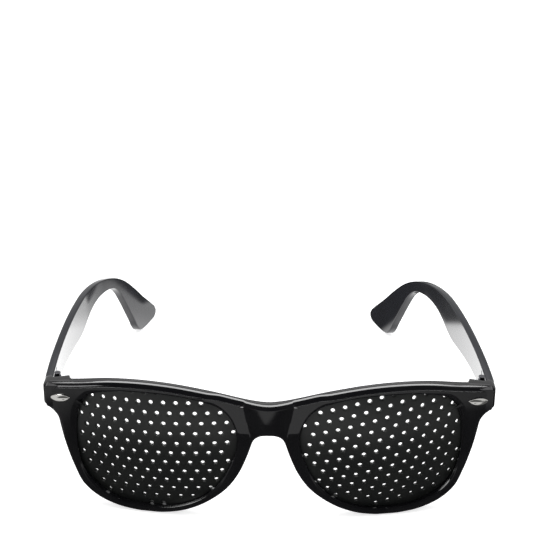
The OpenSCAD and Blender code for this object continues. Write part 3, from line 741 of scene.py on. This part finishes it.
partners = np.interp(stations, [0, 30, 65, 78, 87, 95, 102, 110, 118, 125, 128.2],
                     [0, 30, 65, 75, 84, 91, 97, 103.5, 109.5, 117, 128])
upper = np.stack([stations, np.interp(stations, upper_fine[:, 0], upper_fine[:, 1])], 1)
lower = np.stack([partners, np.interp(partners, lower_fine[:, 0], lower_fine[:, 1])], 1)
upper[-1], lower[-1] = tip_fine[0], tip_fine[-1]
print("length of a temple's upper edge:", round(run_length(upper)[-1], 1), "mm")

# %% The net of one side: rows between the chains, bunched at the pocket
floor_of = lambda v: np.clip((v - lower[:, 1]) / (upper[:, 1] - lower[:, 1]), 0.02, 0.98)
at_pocket = stations <= pocket["far"] + 0.01
low_share = np.where(at_pocket, floor_of(pocket["low"]), 0.33)
high_share = np.where(at_pocket, floor_of(pocket["high"]), 0.85)
after = np.argmax(~at_pocket)
fade = ease(9.15, 30, stations)
low_share = np.where(at_pocket, low_share, low_share[after - 1] * (1 - fade) + 0.33 * fade)
high_share = np.where(at_pocket, high_share, high_share[after - 1] * (1 - fade) + 0.80 * fade)
steps = np.linspace(0, 1, 6)[:, None]
rows_up = np.vstack([steps[:-1] * low_share, low_share, low_share + steps * (high_share - low_share), high_share,
                     high_share + steps[1:] * (1 - high_share)])
print("rows across the blade:", len(rows_up))

# %% The edge line all round, and the net drawn in from it
tip_even = even_points(tip_fine, len(rows_up))[::-1]
butt = np.stack([0 * rows_up[:, 0], lower[0, 1] + rows_up[:, 0] * (upper[0, 1] - lower[0, 1])], 1)


def round_trip(net):
    """The border of a net, once round: up the butt, along the top, down the tip and back along the bottom."""
    return np.concatenate([net[:, 0][:-1], net[-1][:-1], net[::-1, -1][:-1], net[0, ::-1][:-1]])


net = lower[None] + rows_up[..., None] * (upper - lower)[None]
net[:, -1] = tip_even
net[:, 0] = butt
tip_blend = ease(118, 128.2, partners)[None, :, None]
straight = net[:, -1] - (lower[-1] + rows_up[:, -1:] * (upper[-1] - lower[-1]))
net[:, :-1] += tip_blend[:, :-1] ** 2 * straight[:, None]
edge_ring = round_trip(net)
ahead = np.roll(edge_ring, -1, 0) - edge_ring
behind = edge_ring - np.roll(edge_ring, 1, 0)
unit = lambda v: v / np.maximum(np.linalg.norm(v, axis=1, keepdims=True), 1e-9)
fill = lambda v: np.where(np.linalg.norm(v, axis=1, keepdims=True) < 1e-9, np.roll(v, 1, 0), v)
ahead, behind = unit(fill(ahead)), unit(np.roll(fill(np.roll(behind, -1, 0)), 1, 0))
square = unit(ahead + behind)
ring_in = np.stack([square[:, 1], -square[:, 0]], 1) / np.clip((ahead * square).sum(1, keepdims=True), 0.5, 1)


# %% From the side profile to the bowed blade
def turned(x, y, angle):
    """A point turned about the hinge's axis: x' = x cos - y sin, y' = x sin + y cos, from the axis."""
    dx, dy = x - HINGE[0], y - HINGE[1]
    c, s = np.cos(angle), np.sin(angle)
    return HINGE[0] + c * dx - s * dy, HINGE[1] + s * dx + c * dy


def on_blade(profile, through, turn_in, pushed=0.0):
    """A point of the side profile, and how far through the blade it lies: 0 on the outer face, 1 on the inner. Seen
    from above each face is an arc, x = cx + sqrt(r^2 - (y - cy)^2), then a tighter arc, then its tangent."""
    y, up = TEMPLE_START + profile[..., 0], profile[..., 1]
    bow, bend = BOW_RADIUS - through * TEMPLE_THICK, BEND_RADIUS - through * TEMPLE_THICK
    gentle = BOW_CENTRE[0] + np.sqrt(np.maximum(bow**2 - (y - BOW_CENTRE[1]) ** 2, 0))
    tight = BEND_CENTRE[0] + np.sqrt(np.maximum(bend**2 - (y - BEND_CENTRE[1]) ** 2, 0))
    level = BEND_CENTRE[0] + bend / np.cos(END_ANGLE) - (y - BEND_CENTRE[1]) * np.tan(END_ANGLE)
    x = np.where(y < BEND_CENTRE[1] + bend * np.sin(BOW_ANGLE), gentle, tight)
    x = np.where(y > BEND_CENTRE[1] + bend * np.sin(END_ANGLE), level, x)
    x, y = turned(x + pushed, y, -SPLAY)
    x, y = turned(x, np.maximum(y, TEMPLE_START), turn_in)
    return in_frame(x, y, np.maximum(up, 0.0))


EDGE_ROUND = 0.42
turn = np.linspace(0, np.pi / 2, 6)
ring_offset = EDGE_ROUND * np.concatenate([1 - np.sin(turn), [0.0], (1 - np.sin(turn))[::-1]])
depth_share = EDGE_ROUND / TEMPLE_THICK * (1 - np.cos(turn))
ring_through = np.concatenate([depth_share, [0.5], 1 - depth_share[::-1]])
band_profile = edge_ring[None] + ring_offset[:, None, None] * ring_in[None]

inner_net = net.copy()
drawn = edge_ring + EDGE_ROUND * ring_in
n_up, n_along = net.shape[:2]
inner_net[:, 0] = drawn[np.arange(n_up)]
inner_net[-1] = drawn[n_up - 1 + np.arange(n_along)]
inner_net[:, -1] = drawn[n_up + n_along - 2 + np.arange(n_up)][::-1]
inner_net[0] = drawn[(2 * n_up + n_along - 3 + np.arange(n_along)) % len(drawn)][::-1]
print("blade net:", net.shape[:2], "edge ring:", len(edge_ring))

# %% Outer face, inner face with its pocket, and the two temples
pocket_floor = np.zeros(net.shape[:2])
pocket_floor[6:12, 2:after - 1] = 0.8


def temple_parts(turn_in):
    """Both faces and the rounded edge band of a right temple."""
    edge = on_blade(band_profile, ring_through[:, None] + 0 * band_profile[..., 0], turn_in)
    outer_face = on_blade(inner_net, 0 * pocket_floor, turn_in)
    inner_face = on_blade(inner_net, 1 + 0 * pocket_floor, turn_in, pocket_floor)
    return [patch(outer_face), patch(inner_face), patch(edge, True)]


for side, parts in (("left", mirrored(temple_parts(0.0))), ("right", temple_parts(RIGHT_TURN))):
    piece("arm_" + side, parts, "temple_" + side, temple_satin, "temple_" + side, 50)

# %% [markdown]
# ## The hinges
# The leaves, knuckles and screws are small turned and stamped metal parts. Their CAD shapes are right, so they stay
# and only take the dark nickel finish.

# %% Finish of the hinges
hinge_names = [name for name in frame["nodes"] if "leaf" in name or "screw" in name]
for name in hinge_names:
    mesh = frame["nodes"][name].data
    mesh.materials.clear()
    mesh.materials.append(hinge_nickel)
print("in dark nickel:", hinge_names)

# %% [markdown]
# ## Table, light and camera
# A product photograph of black gloss is lit by what it reflects. The table and the room behind are white, and the
# side of the camera is dark, so the face stays black while every surface that leans back or up turns bright. The
# table is a pale matt sheet. It looks white to the camera because the sheet gives off a little light of its own to
# camera rays, and it still takes the shadow of the glasses.
#
# Mirror rays meet a painted reflection on the sheet instead, a pattern which no camera ray sees. The temples' inner
# faces, the bridge and the plates each mirror their own patch of the table, so the pattern paints how bright that
# patch looks in reflection: white far in front, dark just in front of the glasses, brighter than white under and
# between the temples, with painted dark patches behind, where the ear pieces look, for the dark surroundings that
# they mirror.


# %% Arithmetic in the node tree in hand
def combine(kind, a, b):
    """One step of arithmetic: a and b are sockets or numbers."""
    step = nodes.new("ShaderNodeMath")
    step.operation = kind
    for socket, value in zip(step.inputs, (a, b)):
        if isinstance(value, (int, float)):
            socket.default_value = value
        else:
            links.new(value, socket)
    return step.outputs[0]


def product(a, b):
    """a times b."""
    return combine("MULTIPLY", a, b)


def fade_between(value, low, high, at_low, at_high):
    """Goes smoothly from at_low, where the value is low, to at_high, where it is high."""
    result = spread(nodes, links, value, at_low, at_high, low, high)
    result.node.interpolation_type = "SMOOTHSTEP"
    return result


def for_ray(kind, otherwise, then):
    """A number that holds for one kind of ray, and otherwise another value."""
    choice = nodes.new("ShaderNodeMix")
    choice.data_type = "FLOAT"
    links.new(ray.outputs[kind], choice.inputs["Factor"])
    links.new(otherwise, choice.inputs[2])
    choice.inputs[3].default_value = then
    return choice.outputs[0]


# %% Table: a matt white sheet
bpy.ops.mesh.primitive_plane_add(size=6, location=(0, 0, 0))
table = bpy.context.object
table.name = "table"
sheet = bpy.data.materials.new("white_sheet")
sheet.use_nodes = True
nodes, links = sheet.node_tree.nodes, sheet.node_tree.links
paper = nodes["Principled BSDF"]
paper.inputs["Base Color"].default_value = (0.8, 0.8, 0.8, 1)
paper.inputs["Roughness"].default_value = 0.9
paper.inputs["Specular IOR Level"].default_value = 0
ray = nodes.new("ShaderNodeLightPath")
place = nodes.new("ShaderNodeSeparateXYZ")
links.new(nodes.new("ShaderNodeTexCoord").outputs["Object"], place.inputs[0])
x, y = place.outputs["X"], place.outputs["Y"]
ahead_of = product(y, -1)
aside = combine("ABSOLUTE", combine("ADD", x, 0.0056), 0)

# %% Painted reflection that mirror rays see on the table: in front, behind the face, and the painted dark patches
wide = fade_between(combine("ADD", product(aside, 0.4), ahead_of), 0.154, 0.166, 0, 1)
wedge = fade_between(combine("SUBTRACT", ahead_of, product(aside, 0.5)), 0.129, 0.134, 0, 1)
far = product(combine("MAXIMUM", wide, wedge), fade_between(aside, 0.05, 0.12, 1.1, 0.65))
# Painted dark patches, not a real card: the table's glow to mirror rays is taken away here, so the ear pieces mirror
# darkness.
right_line = combine("ADD", y, product(x, 0.23))
right_painted_dark = product(fade_between(right_line, 0.069, 0.073, 0, 1), fade_between(x, -0.014, -0.002, 0, 1))
left_line = combine("SUBTRACT", y, product(x, 0.4))
left_painted_dark = product(fade_between(left_line, 0.0914, 0.0926, 0, 1), fade_between(x, -0.0385, -0.036, 0, 1))
clear_of_painted_dark = combine("SUBTRACT", 1, combine("MAXIMUM", right_painted_dark, left_painted_dark))
# Painted reflection: brighter than white under and between the temples, dark just in front of the glasses, white far
# in front.
between = product(fade_between(y, 0.055, 0.075, 2.6, 1.6), clear_of_painted_dark)
near = product(fade_between(ahead_of, 0.03, 0.06, 1, 0), combine("ADD", between, 0.17))
from_left = fade_between(x, -0.115, -0.09, 0.7, 0.1)
painted_reflection = combine("MAXIMUM", combine("MAXIMUM", far, near), from_left)

# %% The sheet's two looks: paper and a faint glow to the camera, the painted reflection alone to mirror rays
glow = nodes.new("ShaderNodeEmission")
to_camera = product(ray.outputs["Is Camera Ray"], 0.7)
strength = combine("ADD", to_camera, product(ray.outputs["Is Glossy Ray"], painted_reflection))
links.new(strength, glow.inputs["Strength"])
matt = nodes.new("ShaderNodeMixShader")
links.new(ray.outputs["Is Glossy Ray"], matt.inputs["Fac"])
links.new(paper.outputs[0], matt.inputs[1])
both = nodes.new("ShaderNodeAddShader")
links.new(matt.outputs[0], both.inputs[0])
links.new(glow.outputs[0], both.inputs[1])
links.new(both.outputs[0], nodes["Material Output"].inputs["Surface"])
table.data.materials.append(sheet)
print("nodes in the sheet:", len(nodes))

# %% Room: white to the camera, even for matt surfaces, and for reflections bright behind and dark in front
ROOM_LEVEL, CAMERA_WHITE, MATT_LEVEL = 2.0, 1.0, 0.55
world = bpy.data.worlds.new("studio")
bpy.context.scene.world = world
world.use_nodes = True
nodes, links = world.node_tree.nodes, world.node_tree.links
ray = nodes.new("ShaderNodeLightPath")
heading = nodes.new("ShaderNodeSeparateXYZ")
links.new(nodes.new("ShaderNodeTexCoord").outputs["Generated"], heading.inputs[0])
front_back = fade_between(heading.outputs["Y"], -0.35, 0.15, 0.03, 1.0)
height = nodes.new("ShaderNodeValToRGB")
height.color_ramp.interpolation = "EASE"
steps_up = [(0.0, 0.5), (0.45, 0.4), (0.48, 0.85), (0.55, 0.85), (0.62, 0.4), (0.80, 0.3), (0.92, 0.02)]
for k, (position, level) in enumerate(steps_up):
    stop = height.color_ramp.elements[k] if k < 2 else height.color_ramp.elements.new(position)
    stop.position, stop.color = position, (level, level, level, 1)
links.new(heading.outputs["Z"], height.inputs["Fac"])
room = product(product(front_back, height.outputs["Color"]), ROOM_LEVEL)
shown = for_ray("Is Diffuse Ray", for_ray("Is Camera Ray", room, CAMERA_WHITE), MATT_LEVEL)
nodes["Background"].inputs["Color"].default_value = (1, 1, 1, 1)
links.new(shown, nodes["Background"].inputs["Strength"])
print("nodes in the room:", len(nodes))


# %% Lamps: a wide one above for the shadow, a strip behind for the brow's bright line, a small one at the left
def softbox(name, place, aim_at, size, watts):
    """A square lamp that faces a point."""
    lamp = bpy.data.lights.new(name, "AREA")
    lamp.size, lamp.energy = size, watts
    thing = bpy.data.objects.new(name, lamp)
    bpy.context.scene.collection.objects.link(thing)
    away = np.array(place, float) - np.array(aim_at, float)
    away /= np.linalg.norm(away)
    side = np.cross([0, 0, 1], away) if abs(away[2]) < 0.99 else np.array([1.0, 0, 0])
    side /= np.linalg.norm(side)
    turn = np.stack([side, np.cross(away, side), away], axis=1)
    thing.matrix_world = Matrix.Translation(place) @ Matrix(turn.tolist()).to_4x4()
    thing.visible_camera = False
    return thing


above = softbox("lamp_above", (0.0, 0.1, 1.2), (0, 0, 0), 1.2, 9)
above.visible_glossy = False
strip = softbox("lamp_strip", (0.0, 0.38, 0.80), (0, -0.06, 0.04), 1.1, 7)
strip.data.shape, strip.data.size_y = "RECTANGLE", 0.16
strip.visible_diffuse = False
side = softbox("lamp_side", (-0.60, -0.62, 0.42), (0, -0.07, 0.02), 0.4, 5)
side.visible_diffuse = False
print("lamps:", above.name, strip.name, side.name)

# %% Camera, placed by matched points of the photograph; the small shift is its framing
camera_data = bpy.data.cameras.new("camera")
camera_data.lens, camera_data.sensor_width, camera_data.shift_y = 97.457, 36, 0.05
camera = bpy.data.objects.new("camera", camera_data)
bpy.context.scene.collection.objects.link(camera)
to_right = np.array([0.99990985, 0.01302297, 0.00327084])
to_top = np.array([-0.00860207, 0.43423772, 0.90075724])
look_from = np.stack([to_right, to_top, np.cross(to_right, to_top)], axis=1)
camera.matrix_world = Matrix.Translation((0.004794, -0.464138, 0.267706)) @ Matrix(look_from.tolist()).to_4x4()
bpy.context.scene.camera = camera
bpy.context.scene.view_settings.view_transform = "Standard"
print("camera lens:", round(camera_data.lens, 1), "mm")
